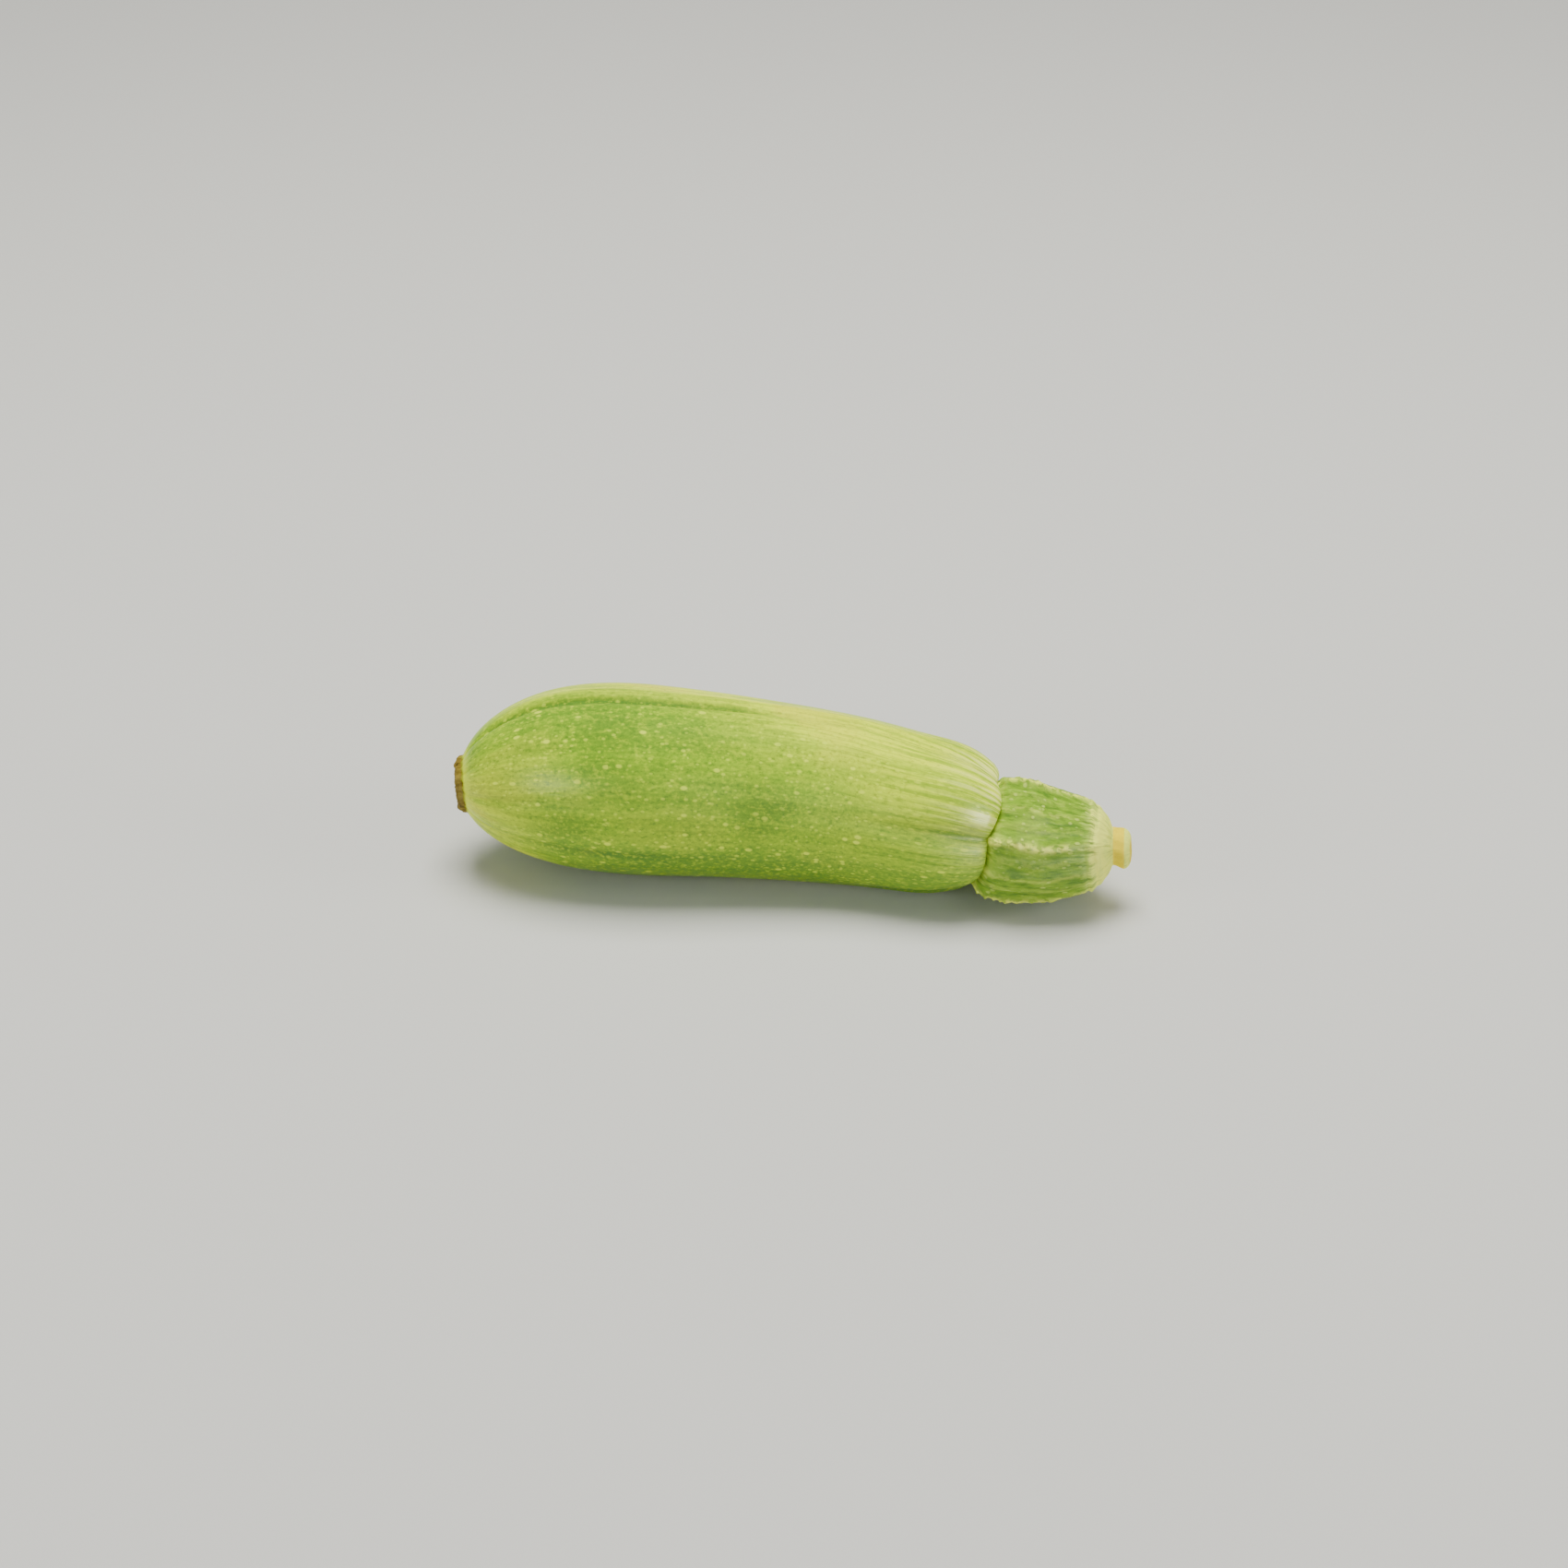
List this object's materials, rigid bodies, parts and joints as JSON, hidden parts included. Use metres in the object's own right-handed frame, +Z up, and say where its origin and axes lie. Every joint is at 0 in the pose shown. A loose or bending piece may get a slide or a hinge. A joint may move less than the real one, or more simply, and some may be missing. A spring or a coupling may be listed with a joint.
{
  "type": "zucchini",
  "caption": "Pale-green zucchini lying on its side, gently bent, with a corky blossom scar at one end and a short ridged stem with a cut tip at the other.",
  "frame": {"origin": "middle of the footprint, on the surface that the zucchini lies on", "axes": "+X from the blossom end to the stem, -Y the front, +Z up"},
  "size_m": [0.166, 0.0548, 0.0477],
  "materials": {
    "skin": "waxy pale-green vegetable skin with fine pale speckles and lengthwise streaks, and a brown corky blossom scar",
    "stalk": "green fibrous stem with pale ridges and a cream cut end"
  },
  "bodies": {
    "root": {"fruit": "skin", "stem": "stalk"}
  },
  "joints": []
}
